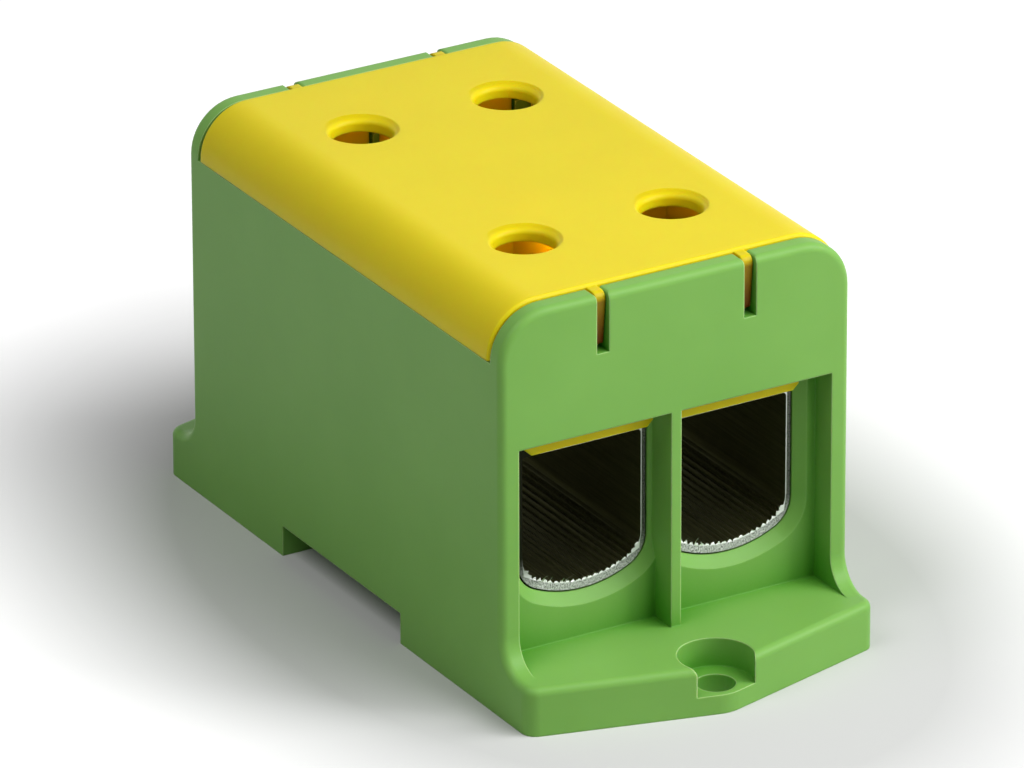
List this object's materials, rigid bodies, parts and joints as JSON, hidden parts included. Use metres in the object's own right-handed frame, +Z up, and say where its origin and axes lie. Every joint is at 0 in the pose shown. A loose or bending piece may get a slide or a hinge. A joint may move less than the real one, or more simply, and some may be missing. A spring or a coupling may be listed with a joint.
{
  "type": "rail mounted terminal connector",
  "caption": "Terminal connector for thick conductors, with metal tubes and clamp screws in a moulded housing under a clip-in cover, for rail or screw mounting.",
  "frame": {"origin": "centre of the base, on the mounting surface", "axes": "+X across the poles, +Y along the conductors towards the rear end, +Z up"},
  "size_m": [0.06, 0.124, 0.0647],
  "materials": {
    "housing_plastic": "satin",
    "cover_plastic": "satin",
    "tube_metal": "saw cut and extruded",
    "screw_metal": "zinc plated"
  },
  "bodies": {
    "base": {"housing": "housing_plastic", "top_cover": "cover_plastic", "terminal_tube_left": "tube_metal", "terminal_tube_right": "tube_metal"},
    "screw_front_left": {"clamp_screw_front_left": "screw_metal"},
    "screw_front_right": {"clamp_screw_front_right": "screw_metal"},
    "screw_rear_left": {"clamp_screw_rear_left": "screw_metal"},
    "screw_rear_right": {"clamp_screw_rear_right": "screw_metal"}
  },
  "joints": [
    {"name": "clamp_front_left", "type": "slide", "parent": "base", "child": "screw_front_left", "axis": [0, 0, 1], "range_m": [-0.015, 0]},
    {"name": "clamp_front_right", "type": "slide", "parent": "base", "child": "screw_front_right", "axis": [0, 0, 1], "range_m": [-0.015, 0]},
    {"name": "clamp_rear_left", "type": "slide", "parent": "base", "child": "screw_rear_left", "axis": [0, 0, 1], "range_m": [-0.015, 0]},
    {"name": "clamp_rear_right", "type": "slide", "parent": "base", "child": "screw_rear_right", "axis": [0, 0, 1], "range_m": [-0.015, 0]}
  ]
}
